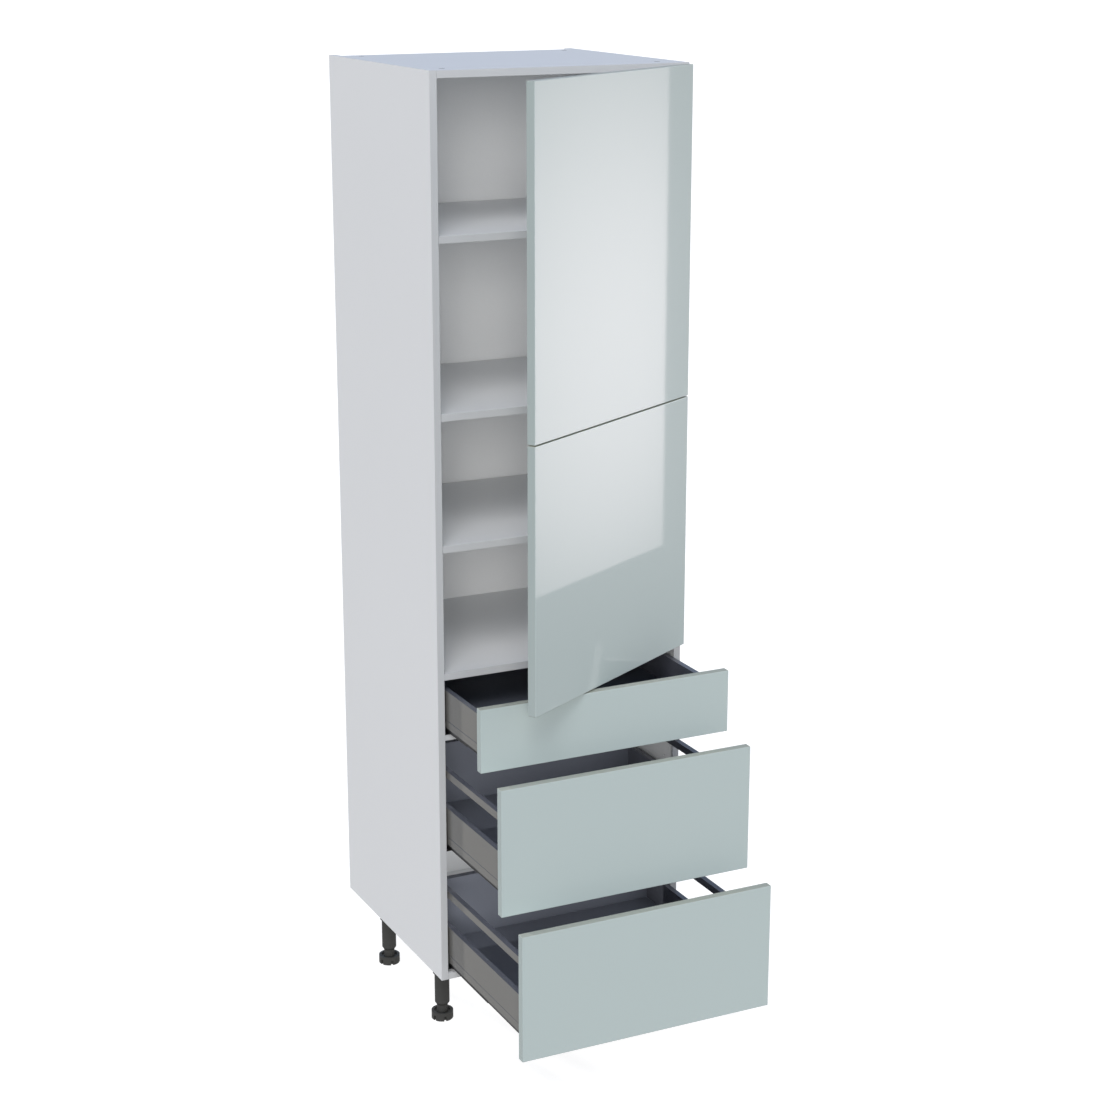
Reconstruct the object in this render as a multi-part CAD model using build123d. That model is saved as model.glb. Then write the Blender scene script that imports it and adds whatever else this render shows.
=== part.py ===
from build123d import *
import os

os.makedirs("parts", exist_ok=True)

# Tall pantry cabinet, millimetres. Sizes are written from the carcass's front, left, lower corner:
# X to the right, Y into the cabinet, Z up. place() moves every piece so that the origin is on the
# floor, under the middle of the carcass.

carcass_w = 600.0
carcass_d = 568.0
carcass_h = 2007.0
board = 16.0
leg_h = 135.0
back_y = 514.0                      # front face of the back panel
inner_l = board
inner_r = carcass_w - board

front_t = 19.0
front_gap = 1.0                     # between a closed front and the carcass
front_x0 = 1.5
front_x1 = 598.5
front_y0 = -front_gap - front_t
edge_r = 1.5                        # rounding of the lacquered fronts' edges
band_r = 0.8                        # rounding of the edge bands on the boards' front edges

door_spans = {"upper": (1290.6, 2004.4), "lower": (716.2, 1288.1)}
door_open_deg = 30.0                # how far the doors stand open in the rest pose
hinge_axis = Axis((front_x1, front_y0, 0), (0, 0, 1))
hinge_inset = 100.0                 # hinge height from each door end
cup_r = 17.5
cup_x = front_x1 - 22.5

# name: (front bottom, front top, side bottom, back top above side bottom, gallery rails, rest opening)
drawers = {
    "top": (572.6, 713.7, 598.0, 86.0, False, 200.0),
    "middle": (285.4, 570.1, 324.0, 168.0, True, 300.0),
    "bottom": (-1.8, 282.9, 37.5, 168.0, True, 400.0),
}
side_h = 86.0
side_x = 21.5                       # outer face of a drawer side
side_w = 12.7
side_len = 498.0
skin = 1.2
rail_h = 16.5
rail_above = 4.5                    # gallery rail top above the back board
base_above_side = 7.0               # underside of the base board above the side's lower edge

shelf_tops = {"upper": 1672.5, "middle": 1298.0, "lower": 1011.0}
fixed_shelf_top = 725.0
leg_spots = {
    "front_left": (35.0, 82.0),
    "front_right": (565.0, 82.0),
    "rear_left": (35.0, 404.0),
    "rear_right": (565.0, 404.0),
}

place = Pos(-carcass_w / 2, -carcass_d / 2, leg_h)


def block(x0, x1, y0, y1, z0, z1):
    return Pos((x0 + x1) / 2, (y0 + y1) / 2, (z0 + z1) / 2) * Box(x1 - x0, y1 - y0, z1 - z0)


def rod_x(x0, x1, y, z, r):
    return Pos((x0 + x1) / 2, y, z) * Rot(0, 90, 0) * Cylinder(r, x1 - x0)


def rod_y(x, y0, y1, z, r):
    return Pos(x, (y0 + y1) / 2, z) * Rot(90, 0, 0) * Cylinder(r, y1 - y0)


def rod_z(x, y, z0, z1, r):
    return Pos(x, y, (z0 + z1) / 2) * Cylinder(r, z1 - z0)


def flip(shape):
    # the same piece for the other side of the cabinet
    return shape.mirror(Plane.YZ.offset(carcass_w / 2))


def band(board_shape, direction):
    # rounds the edges of the front edge band, which run along direction
    return board_shape.fillet(band_r, board_shape.edges().filter_by(direction).group_by(Axis.Y)[0])


def save(name, shapes):
    pieces = list(shapes) if isinstance(shapes, (list, tuple)) else [shapes]
    moved = [place * piece for piece in pieces]
    solids = [solid for piece in moved for solid in piece.solids()]
    whole = solids[0] if len(solids) == 1 else Compound(children=solids)
    export_step(whole, "parts/" + name + ".step")


# ---- carcass boards, with the holes for cams, bolts, dowels and shelf pins

joint_boards = {
    "bottom_panel": (0.0, board, -1),
    "fixed_shelf": (fixed_shelf_top - board, fixed_shelf_top, -1),
    "top_panel": (carcass_h - board, carcass_h, 1),
}
cam_inset = 34.0
cam_rows = (52.0, 498.0)
dowel_rows = (110.0, 404.0)
cam_r = 7.5
cam_deep = 12.5

side_left = block(0, board, 0, carcass_d, 0, carcass_h)
boards = {}
cams = []
bolts = []
dowels = []
for name, (low, high, cam_face) in joint_boards.items():
    deep = 530.0 if name != "fixed_shelf" else back_y
    panel = block(inner_l, inner_r, 0, deep, low, high)
    mid = (low + high) / 2
    for row in cam_rows:
        side_left -= rod_x(board - 11, board, row, mid, 2.5)
        for flipped in (False, True):
            turn = flip if flipped else (lambda shape: shape)
            if cam_face > 0:
                pocket = rod_z(inner_l + cam_inset, row, high - cam_deep, high, cam_r)
                cam = rod_z(inner_l + cam_inset, row, high - cam_deep + 0.5, high - 0.3, cam_r - 0.2)
                slot = block(inner_l + cam_inset - 5, inner_l + cam_inset + 5, row - 0.8, row + 0.8, high - 2, high)
            else:
                pocket = rod_z(inner_l + cam_inset, row, low, low + cam_deep, cam_r)
                cam = rod_z(inner_l + cam_inset, row, low + 0.3, low + cam_deep - 0.5, cam_r - 0.2)
                slot = block(inner_l + cam_inset - 5, inner_l + cam_inset + 5, row - 0.8, row + 0.8, low, low + 2)
            bore = rod_x(inner_l, inner_l + cam_inset, row, mid, 3.5)
            head_bore = rod_x(inner_l + cam_inset - 8, inner_l + cam_inset, row, mid, 3.4)
            bolt = rod_x(board - 10.5, board, row, mid, 2.4) + rod_x(board, inner_l + cam_inset - 2, row, mid, 3.2)
            panel -= turn(pocket + bore)
            cams.append(turn(cam - slot - head_bore))
            bolts.append(turn(bolt))
    for row in dowel_rows:
        side_left -= rod_x(board - 10, board, row, mid, 4.0)
        for flipped in (False, True):
            turn = flip if flipped else (lambda shape: shape)
            panel -= turn(rod_x(inner_l, inner_l + 22, row, mid, 4.0))
            dowels.append(turn(rod_x(board - 9.5, inner_l + 21.5, row, mid, 3.95)))
    boards[name] = panel

# shelf pin rows and the screw holes of the runners, on the 32 mm system
pin_rows = (39.5, 455.5)
pins = []
for top in shelf_tops.values():
    under = top - board
    for row in pin_rows:
        for step in (-96, -64, -32, 0, 32, 64):
            side_left -= rod_x(board - 9, board, row, under - 2.4 + step, 2.5)
        pin = rod_x(board - 8.5, board + 9, row, under - 2.4, 2.4)
        pin += rod_x(board, board + 1.2, row, under - 3.9, 3.4)
        pins.append(pin)
        pins.append(flip(pin))
for row in pin_rows:
    side_left -= rod_x(board - 9, board, row, 429.5, 2.5)
for name in boards:
    save(name, band(boards[name], Axis.X))

# ---- shelves, back panel and crossbar

for name, top in shelf_tops.items():
    shelf = block(inner_l + 0.6, inner_r - 0.6, 0.5, back_y - 4, top - board, top)
    save("shelf_" + name, band(shelf, Axis.X))
save("shelf_pins", pins)
save("back_panel", block(inner_l, inner_r, back_y, back_y + board, board, carcass_h - board))
crossbar = block(inner_l, inner_r, 0.3, 60, 571, 583)
save("front_crossbar", crossbar)
save("cam_locks", cams)
save("cam_bolts", bolts)
save("dowels", dowels)

# ---- legs: a screwed socket, a tube pushed into it, and a foot on a threaded stem

tube_r = 17.0
neck_r = 12.5
stem_r = 5.0
stem_clear = 0.08
sockets = []
tubes = []
leg_screws = []
for name, (x, y) in leg_spots.items():
    socket = rod_z(x, y, -5, 0, 28) + rod_z(x, y, -22, -5, 20.5)
    socket -= rod_z(x, y, -22, -5, tube_r + 0.05)
    for deg in (45, 135, 225, 315):
        spot = Vector(24.5, 0, 0).rotate(Axis.Z, deg)
        socket -= rod_z(x + spot.X, y + spot.Y, -5, 0, 2.0)
        screw = rod_z(x + spot.X, y + spot.Y, -6.6, -5, 3.4) + rod_z(x + spot.X, y + spot.Y, -5, 0, 1.9)
        leg_screws.append(screw)
    sockets.append(socket)
    profile = Polyline((0, -5.2), (tube_r, -5.2), (tube_r, -94), (neck_r, -101), (neck_r, -118.5), (0, -118.5), (0, -5.2))
    tube = Pos(x, y, 0) * revolve(Plane.XZ * make_face(profile), Axis.Z)
    tube -= rod_z(x, y, -118.5, -30, stem_r + stem_clear)
    tubes.append(tube)
    foot = rod_z(x, y, -leg_h, -115, 25) - rod_z(x, y, -119, -115, 19)
    foot = foot.chamfer(1.2, None, foot.edges().group_by(Axis.Z)[0])
    for deg in range(0, 360, 60):
        notch = Pos(x, y, 0) * Rot(0, 0, deg + 23) * block(17.5, 26, -2.7, 2.7, -leg_h, -123)
        foot -= notch
    foot += rod_z(x, y, -119, -60, stem_r)
    save("foot_" + name, foot)
save("leg_sockets", sockets)
save("leg_tubes", tubes)
save("leg_screws", leg_screws)

# ---- doors on concealed hinges, hung on the right


def door_panel(low, high, hinge_heights):
    panel = block(front_x0, front_x1, front_y0, -front_gap, low, high)
    panel = panel.fillet(edge_r, panel.edges())
    for z in hinge_heights:
        panel -= rod_y(cup_x, -front_gap - 12.6, -front_gap, z, cup_r + 0.1)
        panel -= block(cup_x - 11, cup_x + 11, -front_gap - 1.3, -front_gap, z - 33, z + 33)
        for off in (-26, 26):
            panel -= rod_y(cup_x, -front_gap - 12, -front_gap, z + off, 2.0)
    return panel


def hinge_cup(z):
    cup = rod_y(cup_x, -front_gap - 12.5, -front_gap - 0.1, z, cup_r)
    cup += block(cup_x - 10.8, cup_x + 10.8, -front_gap - 1.3, -front_gap - 0.1, z - 32.8, z + 32.8)
    cup -= rod_y(cup_x, -front_gap - 11.4, -front_gap, z, cup_r - 1.2)
    for off in (-26, 26):
        cup -= rod_y(cup_x, -front_gap - 1.4, -front_gap, z + off, 2.0)
    cup += rod_x(cup_x - 13.6, cup_x + 13.6, -front_gap - 8.5, z + 9.6, 1.0)
    return cup


def hinge_arm(z):
    # U channel, open towards the side panel, with its nose reaching into the cup when closed
    arm = block(571.8, 579.6, -4, 66, z - 8, z + 8)
    arm -= block(573.2, 579.6, -4, 66, z - 6.6, z + 6.6)
    arm -= Pos(571, -4, z) * Rot(0, 0, 28) * Box(4, 14, 20)
    arm -= rod_x(571, 574, 37, z, 2.6)
    return arm


def hinge_plate(z):
    plate = block(580.4, 584, 20, 56, z - 25, z + 25)
    plate -= block(580, 584, 20, 29, z - 25, z - 10)
    plate -= block(580, 584, 20, 29, z + 10, z + 25)
    plate -= block(580, 584, 47, 56, z - 25, z - 10)
    plate -= block(580, 584, 47, 56, z + 10, z + 25)
    plate += block(574.6, 580.6, 26, 60, z - 6.2, z + 6.2)
    plate -= rod_x(574, 584, 37, z, 2.0)
    for off in (-16, 16):
        plate -= rod_x(580, 584, 37, z + off, 2.6)
    return plate


hinge_heights = []
plate_screws = []
for name, (low, high) in door_spans.items():
    heights = (low + hinge_inset, high - hinge_inset)
    hinge_heights += heights
    panel = door_panel(low, high, heights)
    cups = [hinge_cup(z) for z in heights]
    cup_screws = []
    for z in heights:
        for off in (-26, 26):
            cup_screws.append(rod_y(cup_x, -front_gap - 11.5, -front_gap - 0.3, z + off, 1.9))
        for off in (-16, 16):
            side_left -= flip(rod_x(inner_r, inner_r + 9, 37, z + off, 2.5))
            plate_screws.append(rod_x(580.8, inner_r + 8.5, 37, z + off, 2.4))
    for label, shapes in (("panel", [panel]), ("hinge_cups", cups), ("cup_screws", cup_screws)):
        save(name + "_door_" + label, [shape.rotate(hinge_axis, door_open_deg) for shape in shapes])

save("hinge_arms", [hinge_arm(z) for z in hinge_heights])
save("hinge_plates", [hinge_plate(z) for z in hinge_heights])
save("hinge_screws", plate_screws)
side_left = band(side_left, Axis.Z)
save("side_panel_left", side_left)
save("side_panel_right", flip(side_left))

# ---- drawers: board front, base and back, sheet metal sides, three-member runners inside the sides

runner_y0 = 3.0
fixed_members = []
for name, (front_low, front_high, low, back_up, rails, opened) in drawers.items():
    slide = Pos(0, -opened, 0)
    half = Pos(0, -opened / 2, 0)
    y_end = -front_gap + side_len
    front = block(front_x0, front_x1, front_y0, -front_gap, front_low, front_high)
    front = front.fillet(edge_r, front.edges())
    # metal side: inverted U with an inward flange that carries the base board
    side = block(side_x, side_x + side_w, -front_gap, y_end, low, low + side_h)
    side -= block(side_x + skin, side_x + side_w - skin, -front_gap, y_end, low - 1, low + side_h - skin)
    side -= block(side_x, side_x + 0.5, -front_gap, y_end, low + 17.6, low + 19.2)
    side += block(side_x + side_w, side_x + side_w + 14, 20, y_end - 20, low + base_above_side - 1.2, low + base_above_side)
    bracket = block(side_x + 2.6, side_x + side_w - 2.6, -front_gap, 24, low + 32, low + side_h - 4)
    pair = [side, bracket]
    base_x0 = side_x + side_w + 0.3
    base = block(base_x0, carcass_w - base_x0, -front_gap, y_end - board, low + base_above_side, low + base_above_side + board)
    back = block(base_x0, carcass_w - base_x0, y_end - board, y_end, low + base_above_side, low + back_up)
    screws = []
    for z in (low + 40, low + 66):
        front -= rod_y(side_x + side_w / 2, -front_gap - 12, -front_gap, z, 2.0)
        front -= rod_y(carcass_w - side_x - side_w / 2, -front_gap - 12, -front_gap, z, 2.0)
        screw = rod_y(side_x + side_w / 2, -front_gap - 11.5, -front_gap, z, 1.9)
        screws += [screw, flip(screw)]
    for z in (low + 40, low + 66):
        screw = rod_x(side_x + side_w - skin - 2, side_x + side_w - skin, y_end - 8, z, 3.2)
        screw += rod_x(side_x + side_w - skin, base_x0 + 14, y_end - 8, z, 1.9)
        side -= rod_x(side_x + side_w - skin - 0.1, base_x0, y_end - 8, z, 2.0)
        back -= rod_x(base_x0, base_x0 + 14.5, y_end - 8, z, 2.0)
        back -= flip(rod_x(base_x0, base_x0 + 14.5, y_end - 8, z, 2.0))
        screws += [screw, flip(screw)]
    save("drawer_" + name + "_front", slide * front)
    save("drawer_" + name + "_base", slide * base)
    save("drawer_" + name + "_back", slide * back)
    save("drawer_" + name + "_side_left", slide * side)
    save("drawer_" + name + "_side_right", slide * flip(side))
    save("drawer_" + name + "_brackets", [slide * bracket, slide * flip(bracket)])
    save("drawer_" + name + "_screws", [slide * screw for screw in screws])
    if rails:
        rail_top = low + back_up + rail_above
        rail = block(side_x, side_x + side_w, -front_gap, y_end, rail_top - rail_h, rail_top)
        rail -= block(side_x + skin, side_x + side_w - skin, -front_gap, y_end, rail_top - rail_h + skin, rail_top - skin)
        save("drawer_" + name + "_rails", [slide * rail, slide * flip(rail)])
    # runner: cabinet member on the side panel, middle member, drawer member under the side's skin
    post_x = side_x + side_w / 2
    fixed = block(inner_l, inner_l + 1.6, runner_y0, 500, low - 15, low + 30)
    fixed += block(inner_l, post_x + 3.0, runner_y0, 500, low - 15, low - 13.2)
    fixed += block(post_x - 1.0, post_x + 1.0, runner_y0, 500, low - 13.2, low + 12)
    middle = block(post_x - 3.4, post_x + 3.4, runner_y0 + 2, 410, low - 10, low + 15.2)
    middle -= block(post_x - 1.9, post_x + 1.9, runner_y0 + 2, 410, low - 10, low + 13.4)
    inner = block(post_x - 5.0, post_x + 5.0, runner_y0 + 1, 484, low - 6, low + 18.6)
    inner -= block(post_x - 3.9, post_x + 3.9, runner_y0 + 1, 484, low - 6, low + 17.0)
    fixed_members += [fixed, flip(fixed)]
    save("runner_" + name + "_middle", [half * middle, half * flip(middle)])
    save("runner_" + name + "_inner", [slide * inner, slide * flip(inner)])
save("runner_fixed_members", fixed_members)
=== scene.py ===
import math
import bmesh
import bpy
import numpy as np
from mathutils import Matrix, Vector


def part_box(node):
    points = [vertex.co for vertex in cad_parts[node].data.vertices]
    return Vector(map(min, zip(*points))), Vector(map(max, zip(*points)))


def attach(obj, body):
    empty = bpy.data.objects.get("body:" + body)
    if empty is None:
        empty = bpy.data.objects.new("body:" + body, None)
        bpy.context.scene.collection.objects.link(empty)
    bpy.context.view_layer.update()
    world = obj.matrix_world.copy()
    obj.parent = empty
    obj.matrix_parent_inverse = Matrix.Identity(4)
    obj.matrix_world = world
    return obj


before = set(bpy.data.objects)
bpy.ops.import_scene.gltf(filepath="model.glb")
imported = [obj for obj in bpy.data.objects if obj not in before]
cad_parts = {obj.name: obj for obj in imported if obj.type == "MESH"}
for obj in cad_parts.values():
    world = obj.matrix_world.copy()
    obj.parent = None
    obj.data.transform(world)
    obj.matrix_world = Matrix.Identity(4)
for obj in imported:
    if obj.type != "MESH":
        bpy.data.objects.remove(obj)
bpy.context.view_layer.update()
print("frame loaded")


# shader helpers

class Wire:
    # one value in a material; an operator on it adds a Math node
    def __init__(self, recipe, socket):
        self.recipe = recipe
        self.socket = socket

    def calc(self, operation, *values):
        return self.recipe.calc(operation, *values)

    def __add__(self, other):
        return self.calc("ADD", self, other)

    def __radd__(self, other):
        return self.calc("ADD", other, self)

    def __sub__(self, other):
        return self.calc("SUBTRACT", self, other)

    def __rsub__(self, other):
        return self.calc("SUBTRACT", other, self)

    def __mul__(self, other):
        return self.calc("MULTIPLY", self, other)

    def __rmul__(self, other):
        return self.calc("MULTIPLY", other, self)

    def __pow__(self, other):
        return self.calc("POWER", self, other)

    def __rpow__(self, other):
        return self.calc("POWER", other, self)

    def __gt__(self, other):
        return self.calc("GREATER_THAN", self, other)

    def __lt__(self, other):
        return self.calc("LESS_THAN", self, other)

    def __abs__(self):
        return self.calc("ABSOLUTE", self)

    def ramp(self, low, high):
        # 0 below low, 1 above high, a soft S between
        return self.recipe.node("ShaderNodeMapRange", {"interpolation_type": "SMOOTHSTEP"},
                                {0: self, 1: low, 2: high, 3: 0.0, 4: 1.0})

    def swing(self, width):
        # a value from 0 to 1 as one from -width / 2 to width / 2
        return (self - 0.5) * width


class Recipe:
    # the nodes of one material, light or sky
    def __init__(self, name, holder=None):
        self.material = holder or bpy.data.materials.new(name)
        self.material.use_nodes = True
        self.nodes = self.material.node_tree.nodes
        self.links = self.material.node_tree.links
        self.nodes.clear()

    def node(self, kind, settings=None, inputs=None, out=0):
        made = self.nodes.new(kind)
        for key, value in (settings or {}).items():
            setattr(made, key, value)
        for key, value in (inputs or {}).items():
            if isinstance(value, Wire):
                self.links.new(value.socket, made.inputs[key])
            elif value is not None:
                made.inputs[key].default_value = value
        return Wire(self, made.outputs[out]) if made.outputs else None

    def calc(self, operation, *values):
        return self.node("ShaderNodeMath", {"operation": operation}, dict(enumerate(values)))

    def place(self):
        return self.node("ShaderNodeTexCoord", out="Object")

    def facing(self):
        return self.node("ShaderNodeTexCoord", out="Normal")

    def split(self, vector):
        parts = self.node("ShaderNodeSeparateXYZ", {}, {0: vector})
        return [Wire(self, output) for output in parts.socket.node.outputs]

    def stretched(self, scale):
        return self.node("ShaderNodeMapping", {}, {"Vector": self.place(), "Scale": scale})

    def noise(self, scale, detail=2.0, roughness=0.5, vector=None):
        return self.node("ShaderNodeTexNoise", {"noise_dimensions": "3D"},
                         {"Vector": vector or self.place(), "Scale": scale,
                          "Detail": detail, "Roughness": roughness})

    def cells(self, scale):
        return self.node("ShaderNodeTexVoronoi", {"feature": "F1"},
                         {"Vector": self.place(), "Scale": scale})

    def blend(self, share, first, second):
        return self.node("ShaderNodeMix", {"data_type": "RGBA"},
                         {0: share, 6: first, 7: second}, out=2)

    def scaled(self, colour, factor):
        # a colour or vector times a value
        colour = colour if isinstance(colour, Wire) else colour[:3]
        return self.node("ShaderNodeVectorMath", {"operation": "SCALE"},
                         {0: colour, "Scale": factor})

    def tinted(self, colour, tint):
        # a colour times a colour
        return self.node("ShaderNodeVectorMath", {"operation": "MULTIPLY"}, {0: colour, 1: tint})

    def sum(self, first, second):
        first = first if isinstance(first, Wire) else first[:3]
        return self.node("ShaderNodeVectorMath", {"operation": "ADD"}, {0: first, 1: second})

    def bump(self, height, distance, strength=1.0):
        return self.node("ShaderNodeBump", {},
                         {"Height": height, "Distance": distance, "Strength": strength})

    def finish(self, inputs):
        surface = self.node("ShaderNodeBsdfPrincipled", {}, inputs)
        self.node("ShaderNodeOutputMaterial", {}, {"Surface": surface})
        return self.material


def shade(colour, factor):
    return tuple(min(1.0, part * factor) for part in colour[:3]) + (1.0,)


# where the doors turn, and where their hinges are screwed, in metres
hinge = {
    "axis": (0.2985, -0.304),          # at the outer front corner of the closed door
    "openDeg": 30.0,                   # how far the doors stand open at rest
    "fromDoorEnd": 0.100,
    "cup": (0.276, -0.2851), "cupScrewOff": 0.026,
    "plate": (0.2804, -0.247), "plateScrewOff": 0.016,
    "armX": 0.2718, "armScrewsY": (-0.270, -0.232),
}
openTurn = math.radians(hinge["openDeg"])


# finishes

boardFinish = {
    "tone": (0.640, 0.652, 0.664, 1.0),
    "speckleScale": 420.0,         # fine print of the foil, per metre
    "speckleShare": 1.6,
    "speckleDepth": 0.018,
    "cloudScale": 2.2,
    "cloudShare": 0.7,
    "grainScale": 2600.0,          # embossed orange-skin of the foil
    "grainDepth": 0.00005,
    "roughness": 0.46,
    "roughSwing": 0.10,
    "sheen": 0.25,
    "frontY": -0.284,              # front edge of the carcass boards
    "shelfFrontY": -0.2835,
    "bandTone": 0.85,              # the edge strip is a little greyer than the boards
    "seamBack": 0.0009,            # glue line of the edge strip behind the front edge
    "seamWidth": 0.00016,
    "seamTone": 0.45,
    "seamShare": 0.35,
    "seamSink": 1.5,
    "rearPaintedShade": 0.78,              # painted shade: darker towards the wall, or the light from behind washes it out
    "rearRoughness": 0.16,
    "rearTurn": (0.6, 0.9),        # how squarely a face looks to the wall, from not at all to rear
}


def makeBoard(name, frontEdge):
    # white melamine foil: tone x (1 + fine speckle), embossed by fine noise, greyer in front of
    # the glue line of the edge strip, and x rearPaintedShade, a painted shade, where the surface looks
    # to +Y
    cook = Recipe(name)
    look = boardFinish
    tone = look["tone"]
    y = cook.split(cook.place())[1]
    speckle = cook.noise(look["speckleScale"], detail=3.0, roughness=0.6)
    cloud = cook.noise(look["cloudScale"])
    share = speckle.swing(look["speckleShare"]) + cloud.swing(look["cloudShare"]) + 0.5
    colour = cook.blend(share, shade(tone, 1 - look["speckleDepth"]),
                        shade(tone, 1 + look["speckleDepth"]))
    seamAt = frontEdge + look["seamBack"]
    colour = cook.blend(y < seamAt, colour, shade(tone, look["bandTone"]))
    seam = abs(y - seamAt) < look["seamWidth"] / 2
    colour = cook.blend(seam * look["seamShare"], colour, shade(tone, look["seamTone"]))
    rear = cook.split(cook.facing())[1].ramp(*look["rearTurn"])
    # painted shade: faces that look to the wall are darkened
    colour = cook.blend(rear, colour, cook.scaled(colour, look["rearPaintedShade"]))
    grain = cook.noise(look["grainScale"])
    rough = speckle.swing(look["roughSwing"]) + rear * look["rearRoughness"] + look["roughness"]
    return cook.finish({
        "Base Color": colour, "Roughness": rough, "Specular IOR Level": look["sheen"],
        "Normal": cook.bump(grain - seam * look["seamSink"], look["grainDepth"])})


lacquerFinish = {
    "tone": (0.454, 0.525, 0.515, 1.0),
    "toneSwing": 0.015,
    "uprightEdgeShade": 0.82,           # painted shade: the narrow upright edges are darkened against the broad faces
    # painted shade on the level edges, darkened and tinted
    "levelEdgeShade": (0.88, 0.80, 0.70),
    "edgeCoat": 0.15,              # backs and edges; a full coat there doubles the softbox in the doors
    "edgeTurn": (0.55, 0.95),      # how squarely a face looks ahead, from edge to broad face
    "cloudScale": 3.0,
    "cloudShare": 0.8,
    "dustScale": 900.0,
    "dustShare": 0.6,
    "peelScale": 55.0,             # slow waves of the polished lacquer
    "peelDepth": 0.000010,
    "roughness": 0.34,
    "roughSwing": 0.08,
    "sheen": 0.12,
    "coatRoughness": 0.035,
    "coatIor": 1.3,
}


def makeLacquer(name, facing):
    # tone x (1 + slow cloud + fine dust), darkened by painted shade where the surface turns from facing,
    # under a clear coat with faint orange peel; facing is where the polished side looks, as (x, y)
    cook = Recipe(name)
    look = lacquerFinish
    cloud = cook.noise(look["cloudScale"])
    dust = cook.noise(look["dustScale"], roughness=0.6)
    share = cloud.swing(look["cloudShare"]) + dust.swing(look["dustShare"]) + 0.5
    colour = cook.blend(share, shade(look["tone"], 1 - look["toneSwing"]),
                        shade(look["tone"], 1 + look["toneSwing"]))
    x, y, z = cook.split(cook.facing())
    towards = x * facing[0] + y * facing[1]
    # painted shade: edges darker than the broad faces, the level ones also tinted
    upright = cook.scaled(colour, look["uprightEdgeShade"])
    edge = cook.blend(abs(z), upright, cook.tinted(colour, look["levelEdgeShade"]))
    colour = cook.blend(abs(towards).ramp(*look["edgeTurn"]), edge, colour)
    coat = towards.ramp(*look["edgeTurn"]) * (1 - look["edgeCoat"]) + look["edgeCoat"]
    peel = cook.noise(look["peelScale"], detail=1.0, roughness=0.4)
    return cook.finish({
        "Base Color": colour, "Roughness": dust.swing(look["roughSwing"]) + look["roughness"],
        "Specular IOR Level": look["sheen"], "Normal": cook.bump(peel, look["peelDepth"]),
        "Coat Weight": coat, "Coat Roughness": look["coatRoughness"], "Coat IOR": look["coatIor"]})


drawerFoil = {
    "tone": (0.108, 0.118, 0.146, 1.0),
    "toneSwing": 0.10,
    "fleckScale": 700.0,
    "fleckShare": 2.2,
    "cloudScale": 4.0,
    "cloudShare": 0.6,
    "grainScale": 1900.0,
    "grainDepth": 0.00006,
    "roughness": 0.42,
    "roughSwing": 0.16,
    "sheen": 0.4,
}


def makeDrawerFoil():
    # dark slate foil: tone x (1 + fine flecks + slow cloud), embossed by fine noise
    cook = Recipe("slateFoil")
    look = drawerFoil
    fleck = cook.noise(look["fleckScale"], detail=4.0, roughness=0.65)
    cloud = cook.noise(look["cloudScale"])
    share = fleck.swing(look["fleckShare"]) + cloud.swing(look["cloudShare"]) + 0.5
    colour = cook.blend(share, shade(look["tone"], 1 - look["toneSwing"]),
                        shade(look["tone"], 1 + look["toneSwing"]))
    grain = cook.noise(look["grainScale"])
    return cook.finish({
        "Base Color": colour, "Roughness": fleck.swing(look["roughSwing"]) + look["roughness"],
        "Specular IOR Level": look["sheen"], "Normal": cook.bump(grain, look["grainDepth"])})


powderCoat = {
    "outerTone": (0.172, 0.170, 0.161, 1.0),
    "outerSwing": 0.03,
    # painted shade: inner and top faces take a darker, bluer copy of the outer tone
    "innerShadeTone": (0.112, 0.118, 0.142, 1.0),
    "innerSwing": 0.04,
    "outerFace": 0.2783,           # distance of the outer skin from the middle plane
    "cloudScale": 9.0,
    "grainScale": 1500.0,
    "grainDepth": 0.00008,
    "grainStrength": 0.6,
    "pitTone": (0.02, 0.02, 0.02, 1.0),
    "pitRange": (0.2, 0.9),
    "pitShare": 0.12,
    "roughness": 0.24,
    "roughSwing": 0.10,
    "sheen": 0.5,
}


def makePowderCoat():
    # powder coated sheet: outerTone where |x| > outerFace, else innerShadeTone, a darker, bluer painted
    # shade, x (1 + slow cloud), dimpled by small cells that darken towards pitTone
    cook = Recipe("powderCoat")
    look = powderCoat
    x = cook.split(cook.place())[0]
    grain = cook.cells(look["grainScale"])
    cloud = cook.noise(look["cloudScale"])
    outer = cook.blend(cloud, shade(look["outerTone"], 1 - look["outerSwing"]),
                       shade(look["outerTone"], 1 + look["outerSwing"]))
    innerShade = cook.blend(cloud, shade(look["innerShadeTone"], 1 - look["innerSwing"]),
                       shade(look["innerShadeTone"], 1 + look["innerSwing"]))
    # painted shade: the inner and top faces are darker and bluer than the outer skin
    colour = cook.blend(abs(x) > look["outerFace"], innerShade, outer)
    colour = cook.blend(grain.ramp(*look["pitRange"]) * look["pitShare"], colour, look["pitTone"])
    return cook.finish({
        "Base Color": colour, "Roughness": cloud.swing(look["roughSwing"]) + look["roughness"],
        "Specular IOR Level": look["sheen"],
        "Normal": cook.bump(grain, look["grainDepth"], look["grainStrength"])})


runnerFinish = {
    "tone": (0.020, 0.021, 0.022, 1.0), "darkStreak": 0.7, "lightStreak": 1.5,
    "streakScale": 60.0, "streakStretch": (8.0, 0.25, 8.0), "streakDepth": 0.00003,
    "greaseTone": (0.055, 0.050, 0.040, 1.0), "greaseScale": 26.0, "greaseRange": (0.55, 0.75),
    "greaseShare": 0.5, "greaseGloss": 0.1, "roughness": 0.33, "roughSwing": 0.2, "metal": 0.35,
}


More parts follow.
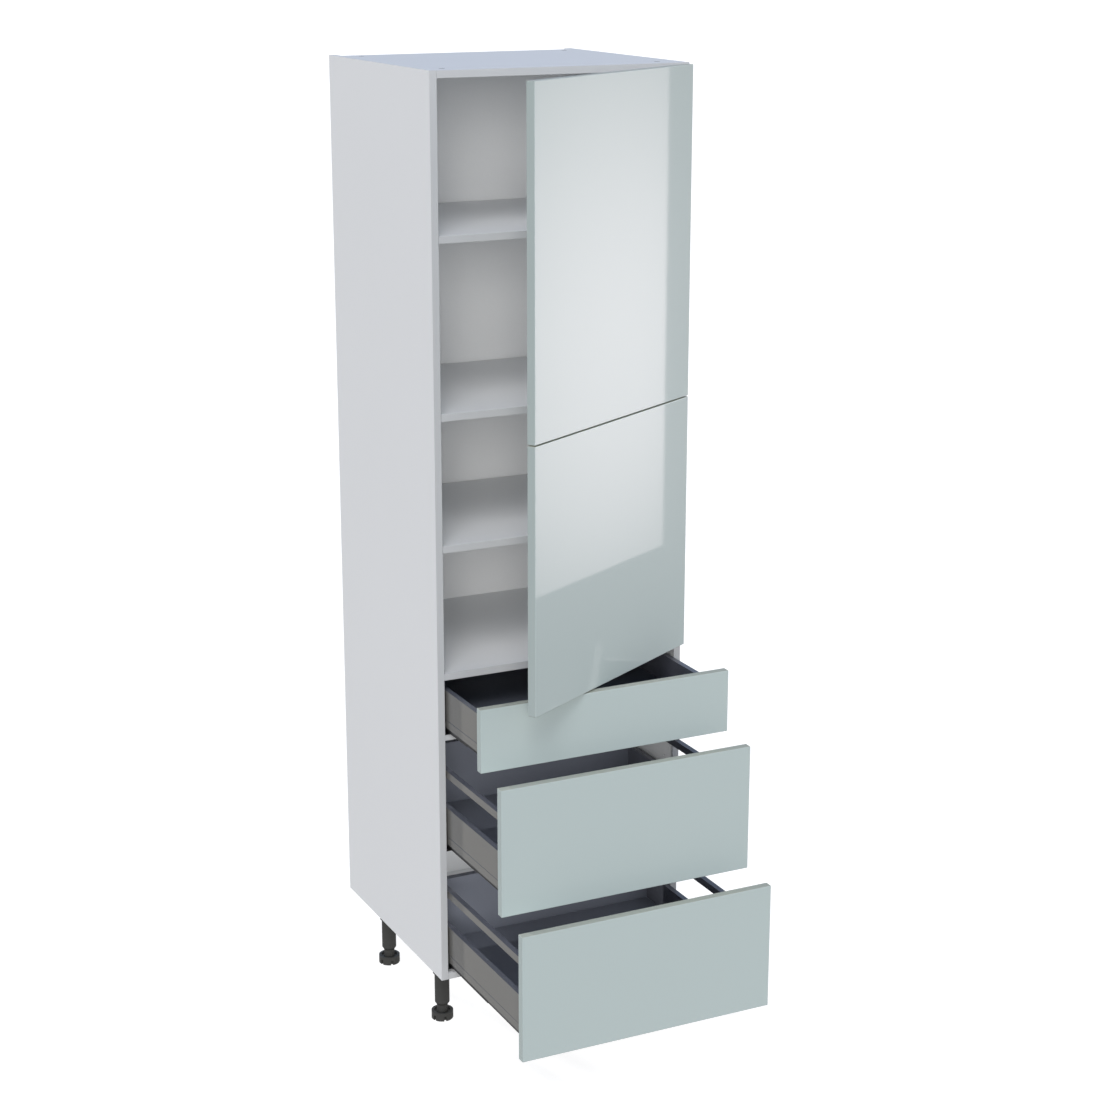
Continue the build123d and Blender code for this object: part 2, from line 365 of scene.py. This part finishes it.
def makeRunnerSteel():
    # black plated strip steel: tone x streaks drawn along the runner, under thin smears of grease
    cook = Recipe("runnerSteel")
    look = runnerFinish
    streak = cook.noise(look["streakScale"], detail=4.0, roughness=0.6,
                        vector=cook.stretched(look["streakStretch"]))
    grease = cook.noise(look["greaseScale"], detail=3.0, roughness=0.6)
    grease = grease.ramp(*look["greaseRange"])
    colour = cook.blend(streak, shade(look["tone"], look["darkStreak"]),
                        shade(look["tone"], look["lightStreak"]))
    colour = cook.blend(grease * look["greaseShare"], colour, look["greaseTone"])
    rough = streak.swing(look["roughSwing"]) + look["roughness"] - grease * look["greaseGloss"]
    return cook.finish({"Base Color": colour, "Roughness": rough, "Metallic": look["metal"],
                        "Normal": cook.bump(streak, look["streakDepth"])})


nickelFinish = {"tone": (0.60, 0.60, 0.61, 1.0), "roughness": 0.27, "metal": 1.0}
zincFinish = {"tone": (0.085, 0.090, 0.100, 1.0), "roughness": 0.55, "metal": 0.25}   # dark, to be seen
metalGrain = {
    "streakScale": 90.0, "streakStretch": (1.0, 14.0, 1.0), "streakDepth": 0.00002,
    "darkStreak": 0.88, "lightStreak": 1.10, "roughSwing": 0.18,
    "spotScale": 240.0, "spotRange": (0.6, 0.8), "spotTone": 0.6, "spotShare": 0.4, "spotRough": 0.12,
}


def makeMetal(name, look):
    # tone x (1 + fine brushed streaks), duller and darker in small spots
    cook = Recipe(name)
    tone = look["tone"]
    streak = cook.noise(metalGrain["streakScale"], detail=3.0, roughness=0.6,
                        vector=cook.stretched(metalGrain["streakStretch"]))
    spot = cook.noise(metalGrain["spotScale"], detail=3.0, roughness=0.6)
    spot = spot.ramp(*metalGrain["spotRange"])
    colour = cook.blend(streak, shade(tone, metalGrain["darkStreak"]),
                        shade(tone, metalGrain["lightStreak"]))
    colour = cook.blend(spot * metalGrain["spotShare"], colour,
                        shade(tone, metalGrain["spotTone"]))
    rough = (streak.swing(metalGrain["roughSwing"]) + spot * metalGrain["spotRough"]
             + look["roughness"])
    return cook.finish({"Base Color": colour, "Roughness": rough, "Metallic": look["metal"],
                        "Normal": cook.bump(streak, metalGrain["streakDepth"])})


legFinish = {
    "tone": (0.050, 0.050, 0.047, 1.0), "toneSwing": 0.2, "grainScale": 1300.0,
    "grainDepth": 0.00007, "rubScale": 30.0, "rubRange": (0.5, 0.8), "rubTone": 1.9,
    "rubShare": 0.25, "rubGloss": 0.06,
    "roughness": 0.48, "roughSwing": 0.2, "sheen": 0.4,
}


def makeLegPlastic():
    # black moulded plastic: tone x (1 + spark-eroded grain), lighter in rubbed patches
    cook = Recipe("legPlastic")
    look = legFinish
    grain = cook.noise(look["grainScale"], detail=3.0, roughness=0.6)
    rub = cook.noise(look["rubScale"], detail=3.0, roughness=0.6).ramp(*look["rubRange"])
    colour = cook.blend(grain, shade(look["tone"], 1 - look["toneSwing"]),
                        shade(look["tone"], 1 + look["toneSwing"]))
    colour = cook.blend(rub * look["rubShare"], colour, shade(look["tone"], look["rubTone"]))
    rough = grain.swing(look["roughSwing"]) + look["roughness"] - rub * look["rubGloss"]
    return cook.finish({
        "Base Color": colour, "Roughness": rough, "Specular IOR Level": look["sheen"],
        "Normal": cook.bump(grain, look["grainDepth"])})


beechFinish = {
    "light": (0.62, 0.42, 0.24, 1.0), "dark": (0.42, 0.26, 0.13, 1.0),
    "fibreScale": 300.0, "fibreStretch": (0.12, 1.0, 1.0), "fibreDepth": 0.0001,
    "fleckScale": 900.0, "fleckStretch": (0.2, 1.0, 1.0), "fleckRange": (0.62, 0.7),
    "fleckTone": 0.6, "fleckShare": 0.5,
    "roughness": 0.55, "roughRise": 0.1,
}


def makeBeech():
    # beech dowel: dark to light by fibres drawn along X, with short dark flecks
    cook = Recipe("beech")
    look = beechFinish
    fibre = cook.noise(look["fibreScale"], detail=4.0, roughness=0.65,
                       vector=cook.stretched(look["fibreStretch"]))
    fleck = cook.noise(look["fleckScale"], vector=cook.stretched(look["fleckStretch"]))
    fleck = fleck.ramp(*look["fleckRange"])
    colour = cook.blend(fibre, look["dark"], look["light"])
    colour = cook.blend(fleck * look["fleckShare"], colour,
                        shade(look["dark"], look["fleckTone"]))
    return cook.finish({"Base Color": colour,
                        "Roughness": fibre * look["roughRise"] + look["roughness"],
                        "Normal": cook.bump(fibre, look["fibreDepth"])})


bumperFinish = {"tone": (0.75, 0.78, 0.78, 1.0), "hazeTone": 0.92, "hazeScale": 500.0,
                "roughness": 0.22, "roughRise": 0.06}


def makeBumperGel():
    # soft pale plastic: tone x hazeTone to tone by a fine haze
    cook = Recipe("bumperGel")
    look = bumperFinish
    haze = cook.noise(look["hazeScale"])
    colour = cook.blend(haze, shade(look["tone"], look["hazeTone"]), look["tone"])
    return cook.finish({"Base Color": colour,
                        "Roughness": haze * look["roughRise"] + look["roughness"]})


carcassBoard = makeBoard("whiteBoard", boardFinish["frontY"])
shelfBoard = makeBoard("whiteShelf", boardFinish["shelfFrontY"])
doorLacquer = makeLacquer("doorLacquer", (math.sin(openTurn), -math.cos(openTurn)))
frontLacquer = makeLacquer("frontLacquer", (0.0, -1.0))
slateFoil = makeDrawerFoil()
sheetPaint = makePowderCoat()
runnerSteel = makeRunnerSteel()
nickel = makeMetal("nickelPlate", nickelFinish)
zinc = makeMetal("zincCast", zincFinish)
blackPlastic = makeLegPlastic()
beech = makeBeech()
bumperGel = makeBumperGel()
print("finishes made")


def finishOf(node):
    if node.endswith("_door_panel"):
        return doorLacquer
    if node.endswith("_front"):
        return frontLacquer
    if node.startswith("shelf_") and node != "shelf_pins":
        return shelfBoard
    if node.startswith("runner_"):
        return runnerSteel
    if node.startswith("foot_") or node in ("leg_tubes", "leg_sockets"):
        return blackPlastic
    if node == "dowels":
        return beech
    if node == "cam_locks":
        return zinc
    if node.startswith("drawer_"):
        if "_side_" in node or node.endswith("_rails") or node.endswith("_brackets"):
            return sheetPaint
        return nickel if node.endswith("_screws") else slateFoil
    if "screws" in node or "hinge" in node or node in ("cam_bolts", "shelf_pins"):
        return nickel
    return carcassBoard


for name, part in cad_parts.items():
    part.data.materials.clear()
    part.data.materials.append(finishOf(name))
print("CAD pieces finished:", len(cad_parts))


# surface helpers

def gridFaces(rows, columns, wrapColumns=False):
    # quads of a grid whose point (i, j) is number i x columns + j
    i = np.arange(rows - 1)
    j = np.arange(columns if wrapColumns else columns - 1)
    i, j = np.meshgrid(i, j, indexing="ij")
    nextI, nextJ = (i + 1) * columns, (j + 1) % columns
    quads = np.stack([i * columns + j, i * columns + nextJ, nextI + nextJ, nextI + j], -1)
    return quads.reshape(-1, 4)


mergeWithin = 1e-6        # metres; points this near are one, which closes the poles


def makeTurned(name, grids, finish, body):
    # one mesh from a list of point grids (rows, columns, 3), each closed round its columns
    points, faces, start = [], [], 0
    for grid in grids:
        rows, columns = grid.shape[:2]
        points.append(grid.reshape(-1, 3))
        faces.append(gridFaces(rows, columns, wrapColumns=True) + start)
        start += rows * columns
    mesh = bpy.data.meshes.new(name)
    mesh.from_pydata(np.concatenate(points).tolist(), [], np.concatenate(faces).tolist())
    work = bmesh.new()
    work.from_mesh(mesh)
    bmesh.ops.remove_doubles(work, verts=work.verts, dist=mergeWithin)
    bmesh.ops.recalc_face_normals(work, faces=work.faces)
    work.to_mesh(mesh)
    work.free()
    mesh.shade_smooth()
    mesh.materials.append(finish)
    piece = bpy.data.objects.new(name, mesh)
    bpy.context.scene.collection.objects.link(piece)
    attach(piece, body)
    return piece


def lathe(profile, steps):
    # profile rows (radius, height) turned round Z
    angle = np.linspace(0, 2 * np.pi, steps, endpoint=False)
    radius, height = profile[:, 0][:, None], profile[:, 1][:, None]
    return np.stack([radius * np.cos(angle), radius * np.sin(angle),
                     np.repeat(height, steps, 1)], -1)


def aim(grid, centre, outward):
    # carries a grid made round +Z so that +Z points along outward, at centre
    turn = Vector((0, 0, 1)).rotation_difference(Vector(outward)).to_matrix()
    return grid @ np.array(turn).T + np.array(centre)


def openWithDoor(grid):
    # a piece given on the closed door, turned with it to the rest pose
    axisX, axisY = hinge["axis"]
    x, y = grid[..., 0] - axisX, grid[..., 1] - axisY
    turned = grid.copy()
    turned[..., 0] = axisX + x * math.cos(openTurn) - y * math.sin(openTurn)
    turned[..., 1] = axisY + x * math.sin(openTurn) + y * math.cos(openTurn)
    return turned


# door bumpers

doorBumper = {"radius": 0.0045, "height": 0.0006, "x": -0.2895, "y": -0.285, "fromEnd": 0.012,
              "rings": 10, "steps": 32}


def bumperDome():
    # flat dome: height falls as (1 - t to the power 4) with the share t of the radius
    share = np.linspace(0, 1, doorBumper["rings"])
    top = np.stack([doorBumper["radius"] * share, doorBumper["height"] * (1 - share ** 4)], -1)
    return lathe(np.concatenate([top, [[0.0, 0.0]]]), doorBumper["steps"])


for side in ("upper", "lower"):
    low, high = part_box(side + "_door_panel")
    domes = []
    for z in (low.z + doorBumper["fromEnd"], high.z - doorBumper["fromEnd"]):
        closed = aim(bumperDome(), (doorBumper["x"], doorBumper["y"], z), (0, 1, 0))
        domes.append(openWithDoor(closed))
    makeTurned(side + "_door_bumpers", domes, bumperGel, side + "_door")
print("door bumpers made")


# cross-head screws of the hinges

crossHead = {"radius": 0.0036, "height": 0.0013, "recessReach": 0.0021, "recessWidth": 0.0005,
             "recessDepth": 0.0009, "recessSoft": 0.00012, "rings": 22, "steps": 64}


def crossHeadCap():
    # dome h(1 - t^3) less a cross: depth x (inside either arm of the cross), its edges softened
    share = np.linspace(0, 1, crossHead["rings"])[:, None]
    angle = np.linspace(0, 2 * np.pi, crossHead["steps"], endpoint=False)[None, :]
    x = crossHead["radius"] * share * np.cos(angle)
    y = crossHead["radius"] * share * np.sin(angle)

    def within(value, limit):
        # 1 inside the limit, 0 outside, by the logistic curve
        return 1 / (1 + np.exp((np.abs(value) - limit) / crossHead["recessSoft"]))

    reach, width = crossHead["recessReach"], crossHead["recessWidth"]
    cross = np.maximum(within(x, reach) * within(y, width), within(y, reach) * within(x, width))
    z = crossHead["height"] * (1 - share ** 3) - crossHead["recessDepth"] * cross
    under = np.zeros((1, crossHead["steps"], 3))
    return np.concatenate([np.stack([x, y, z], -1), under])


def aroundEach(heights, off):
    # off below and off above each height
    return [z + step for z in heights for step in (-off, off)]


hingeHeights = []
for side in ("upper", "lower"):
    low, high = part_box(side + "_door_panel")
    heights = (low.z + hinge["fromDoorEnd"], high.z - hinge["fromDoorEnd"])
    hingeHeights += heights
    caps = [openWithDoor(aim(crossHeadCap(), (*hinge["cup"], z), (0, 1, 0)))
            for z in aroundEach(heights, hinge["cupScrewOff"])]
    makeTurned(side + "_cup_screw_heads", caps, nickel, side + "_door")
caps = [aim(crossHeadCap(), (*hinge["plate"], z), (-1, 0, 0))
        for z in aroundEach(hingeHeights, hinge["plateScrewOff"])]
caps += [aim(crossHeadCap(), (hinge["armX"], y, z), (-1, 0, 0))
         for z in hingeHeights for y in hinge["armScrewsY"]]
makeTurned("hinge_screw_heads", caps, nickel, "carcass")
print("screw heads made")


# camera, lights, floor

view = {"place": (-2.1412, -4.6085, 2.4558), "forward": (0.4225, 0.8653, -0.2698),
        "lens": 74.92, "sensor": 36.0, "clipEnd": 200.0}
camera = bpy.data.objects.new("camera", bpy.data.cameras.new("camera"))
camera.data.sensor_width = view["sensor"]
camera.data.lens = view["lens"]
camera.data.clip_end = view["clipEnd"]
camera.location = view["place"]
camera.rotation_mode = "QUATERNION"
camera.rotation_quaternion = Vector(view["forward"]).to_track_quat("-Z", "Y")
bpy.context.scene.collection.objects.link(camera)
bpy.context.scene.camera = camera

sky = {
    "base": (0.22, 0.31, 0.48, 1.0),       # cool light from all round, above the horizon
    "below": (0.40, 0.40, 0.40, 1.0),      # the floor hides it from the camera only
    "lobePower": 3.0,
    "lobes": {                             # broad lamps: where each one stands, and its light
        (-1.0, 0.0): (0.73, 0.59, 0.40, 1.0),
        (1.0, 0.0): (1.30, 1.20, 1.05, 1.0),
        (0.7071, -0.7071): (0.39, 0.32, 0.21, 1.0),
    },
}


def makeSky():
    # base + each lobe x max(direction . lobe, 0)^lobePower above the horizon, even grey below it
    cook = Recipe("sky", bpy.data.worlds.new("studio"))
    bpy.context.scene.world = cook.material
    x, y, z = cook.split(cook.node("ShaderNodeTexCoord", out="Generated"))
    glow = sky["base"]
    for (toX, toY), light in sky["lobes"].items():
        near = cook.calc("MAXIMUM", x * toX + y * toY, 0.0) ** sky["lobePower"]
        glow = cook.sum(glow, cook.scaled(light, near))
    backdrop = cook.node("ShaderNodeBackground", {},
                         {"Color": cook.blend(z > 0.0, sky["below"], glow)})
    cook.node("ShaderNodeOutputWorld", {}, {"Surface": backdrop})


makeSky()

softbox = {
    "bottom": 0.535, "top": 2.60, "left": (1.050, -1.108), "right": (2.272, -0.391),
    "radiance": 5.8, "tint": (1.0, 0.90, 0.92, 1.0),
    "heart": (0.741, 0.366),               # brightest spot, in shares of its width and height
    "fade": 0.85, "least": 0.3,            # loss per square metre away from it, down to least
}


def makeSoftbox():
    # an upright rectangle, parallel to the open doors, that only gloss shows:
    # its light is max(1 - fade x (distance from heart)^2, least)
    left, right = Vector(softbox["left"]), Vector(softbox["right"])
    lamp = bpy.data.lights.new("softbox", "AREA")
    lamp.shape = "RECTANGLE"
    lamp.size = (right - left).length
    lamp.size_y = softbox["top"] - softbox["bottom"]
    lamp.energy = softbox["radiance"] * lamp.size * lamp.size_y * math.pi
    cook = Recipe("softbox", lamp)
    u, v = cook.split(cook.node("ShaderNodeNewGeometry", out="Parametric"))[:2]
    across = (u - softbox["heart"][0]) * lamp.size
    up = (v - softbox["heart"][1]) * lamp.size_y
    fall = 1.0 - (across * across + up * up) * softbox["fade"]
    glow = cook.node("ShaderNodeEmission", {}, {
        "Color": softbox["tint"], "Strength": cook.calc("MAXIMUM", fall, softbox["least"])})
    cook.node("ShaderNodeOutputLight", {}, {"Surface": glow})
    box = bpy.data.objects.new("softbox", lamp)
    middle = (left + right) / 2
    box.location = (middle.x, middle.y, (softbox["top"] + softbox["bottom"]) / 2)
    along = (right - left).normalized()
    turn = Matrix(((along.x, along.y, 0), (0, 0, 1), (along.y, -along.x, 0))).transposed()
    box.rotation_mode = "QUATERNION"
    box.rotation_quaternion = turn.to_quaternion()
    box.visible_camera = False
    box.visible_diffuse = False
    bpy.context.scene.collection.objects.link(box)


makeSoftbox()

# each sun: azimuth and drop of its beam in degrees, its spread, and its light
suns = {
    "key": (26.0, 12.0, 20.0, (0.400, 0.387, 0.365)),
    "over": (32.0, 48.0, 24.0, (0.34, 0.334, 0.328)),
    "rim": (164.4, 8.0, 2.5, (1.05, 1.03, 0.98)),
}
fillLights = {
    "left": -0.280, "right": 0.280, "spread": 150.0,
    "shelves": {"front": -0.2832, "bottom": 0.862, "top": 2.124, "light": (0.64, 0.63, 0.63)},
    "drawers": {"front": -0.2832, "bottom": 0.153, "top": 0.700, "light": (0.78, 0.77, 0.75)},
    "behind": {"front": 0.10, "bottom": 0.153, "top": 0.470, "light": (0.56, 0.56, 0.56)},
}


def makeSun(name, azimuth, drop, spread, light):
    # a far lamp; its beam runs along (sin a cos d, cos a cos d, -sin d)
    lamp = bpy.data.lights.new(name, "SUN")
    lamp.energy = math.pi
    lamp.color = light
    lamp.angle = math.radians(spread)
    across, down = math.radians(azimuth), math.radians(drop)
    way = Vector((math.sin(across) * math.cos(down), math.cos(across) * math.cos(down),
                  -math.sin(down)))
    sun = bpy.data.objects.new(name, lamp)
    sun.rotation_mode = "QUATERNION"
    sun.rotation_quaternion = way.to_track_quat("-Z", "Y")
    sun.visible_glossy = False          # only the softbox and the sky show in the gloss
    bpy.context.scene.collection.objects.link(sun)


def makeFill(name):
    # a soft panel across an opening of the carcass, shining inwards
    chosen = fillLights[name]
    lamp = bpy.data.lights.new(name + "Fill", "AREA")
    lamp.shape = "RECTANGLE"
    lamp.size = fillLights["right"] - fillLights["left"]
    lamp.size_y = chosen["top"] - chosen["bottom"]
    lamp.energy = lamp.size * lamp.size_y * math.pi
    lamp.color = chosen["light"]
    lamp.spread = math.radians(fillLights["spread"])
    fill = bpy.data.objects.new(name + "Fill", lamp)
    fill.location = (0.0, chosen["front"], (chosen["top"] + chosen["bottom"]) / 2)
    fill.rotation_euler = (math.pi / 2, 0.0, 0.0)
    fill.visible_camera = False
    fill.visible_glossy = False
    bpy.context.scene.collection.objects.link(fill)


for name, values in suns.items():
    makeSun(name, *values)
for name in ("shelves", "drawers", "behind"):
    makeFill(name)

floorLook = {"size": 120.0, "flatTo": 70.0, "rise": 90.0, "steps": 49,
             "tone": (0.30, 0.30, 0.30, 1.0), "cloudTone": 0.995, "cloudScale": 3.0,
             "roughness": 0.8, "light": (1.0, 1.0, 1.0, 1.0), "glow": 0.88}


def floorGrid():
    # level out to flatTo, then up by rise x t^2, t being the share of the way on to size
    span = np.linspace(-floorLook["size"], floorLook["size"], floorLook["steps"])
    east, north = np.meshgrid(span, span, indexing="ij")
    past = np.maximum(np.hypot(east, north) - floorLook["flatTo"], 0.0)
    share = past / (floorLook["size"] - floorLook["flatTo"])
    return np.stack([east, north, floorLook["rise"] * share ** 2], -1)


floorMesh = bpy.data.meshes.new("floor")
floorMesh.from_pydata(floorGrid().reshape(-1, 3).tolist(), [],
                      gridFaces(floorLook["steps"], floorLook["steps"])[:, ::-1].tolist())
floorCook = Recipe("paleFloor")
paleNoise = floorCook.noise(floorLook["cloudScale"], detail=3.0)
floorMesh.materials.append(floorCook.finish({
    "Base Color": floorCook.blend(paleNoise, shade(floorLook["tone"], floorLook["cloudTone"]),
                                  floorLook["tone"]),
    "Roughness": floorLook["roughness"], "Specular IOR Level": 0.0,
    "Emission Color": floorLook["light"], "Emission Strength": floorLook["glow"]}))
floor = bpy.data.objects.new("floor", floorMesh)
floor.visible_glossy = False        # the sky's lower half lights the cabinet, not the white floor
floor.visible_diffuse = False
floor.visible_shadow = False        # its raised rim lets the suns through
bpy.context.scene.collection.objects.link(floor)
bpy.context.scene.view_settings.view_transform = "Standard"
print("camera, lights and floor set")
